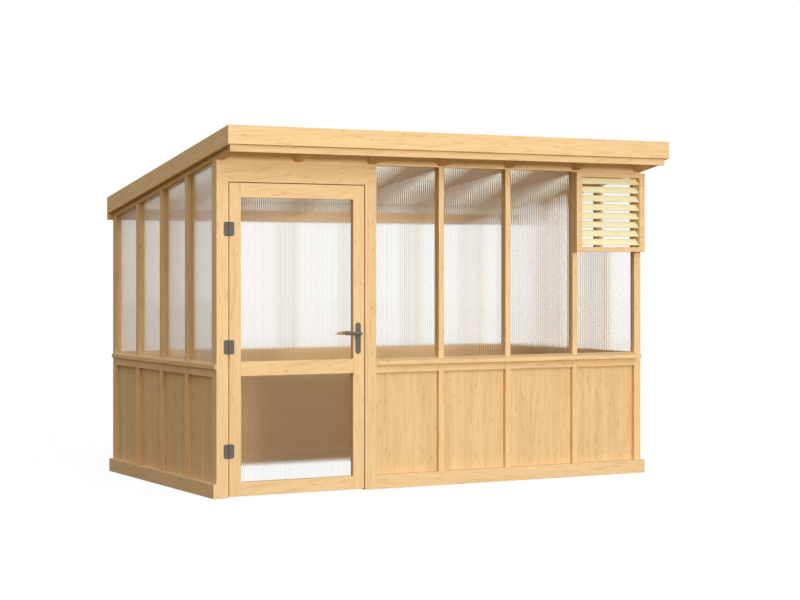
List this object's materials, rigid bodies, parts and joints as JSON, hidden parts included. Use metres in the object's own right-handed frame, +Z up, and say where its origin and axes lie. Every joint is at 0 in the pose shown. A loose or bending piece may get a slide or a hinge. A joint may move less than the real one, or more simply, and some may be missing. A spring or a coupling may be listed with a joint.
{
  "type": "wooden greenhouse",
  "caption": "Timber greenhouse with a hinged glazed door, board panels to sill height, ribbed clear sheets above, a louvred vent and a roof that falls to the back.",
  "frame": {"origin": "on the ground, under the middle of the whole outline", "axes": "+X along the front to the right as seen from outside, +Y from the front to the back, +Z up"},
  "size_m": [3.21, 2.1016, 2.2401],
  "materials": {
    "frame_pine": "clear-oiled planed pine, knots, satin",
    "panel_pine": "planed pine boards, upright grain",
    "slat_pine": "bare planed pine, paler than the frame",
    "ribbed_sheet": "clear hollow sheet with upright ribs",
    "roof_sheet": "hollow opal sheet with ribs down the slope",
    "brass": "satin brass, the inner lever",
    "dark_metal": "matt dark grey paint"
  },
  "bodies": {
    "greenhouse": {"base_front": "frame_pine", "base_left": "frame_pine", "base_right": "frame_pine", "base_back": "frame_pine", "corner_posts": "frame_pine", "front_posts": "frame_pine", "side_posts": "frame_pine", "back_posts": "frame_pine", "door_header": "frame_pine", "door_stops": "frame_pine", "casing_left": "frame_pine", "casing_right": "frame_pine", "casing_top": "frame_pine", "front_sill": "frame_pine", "side_sills": "frame_pine", "back_sill": "frame_pine", "front_panels": "panel_pine", "side_panels": "panel_pine", "back_panels": "panel_pine", "front_battens": "frame_pine", "side_battens": "frame_pine", "back_battens": "frame_pine", "front_glazing": "ribbed_sheet", "side_glazing": "ribbed_sheet", "back_glazing": "ribbed_sheet", "front_plate": "frame_pine", "back_plate": "frame_pine", "end_rafters": "frame_pine", "rafters": "frame_pine", "eave_blocking": "frame_pine", "eave_board": "frame_pine", "fascia_front": "frame_pine", "fascia_back": "frame_pine", "side_fascias": "frame_pine", "roof_sheets": "roof_sheet", "roof_bars": "frame_pine", "vent_frame": "frame_pine", "vent_slats": "slat_pine", "hinge_jamb_leaves": "dark_metal"},
    "door": {"door_stiles": "frame_pine", "door_rails": "frame_pine", "door_panes": "ribbed_sheet", "hinge_door_leaves": "dark_metal", "handle_plates": "dark_metal"},
    "handle": {"lever_set": "dark_metal"}
  },
  "joints": [
    {"name": "door_swing", "type": "hinge", "parent": "greenhouse", "child": "door", "pos_m": [-1.489, -0.7987, 0.95], "axis": [0, 0, -1], "range_deg": [0, 170]},
    {"name": "lever_turn", "type": "hinge", "parent": "door", "child": "handle", "pos_m": [-0.6115, -0.7732, 0.984], "axis": [0, -1, 0], "range_deg": [0, 45], "stiffness_Nm_per_rad": 1.2}
  ]
}
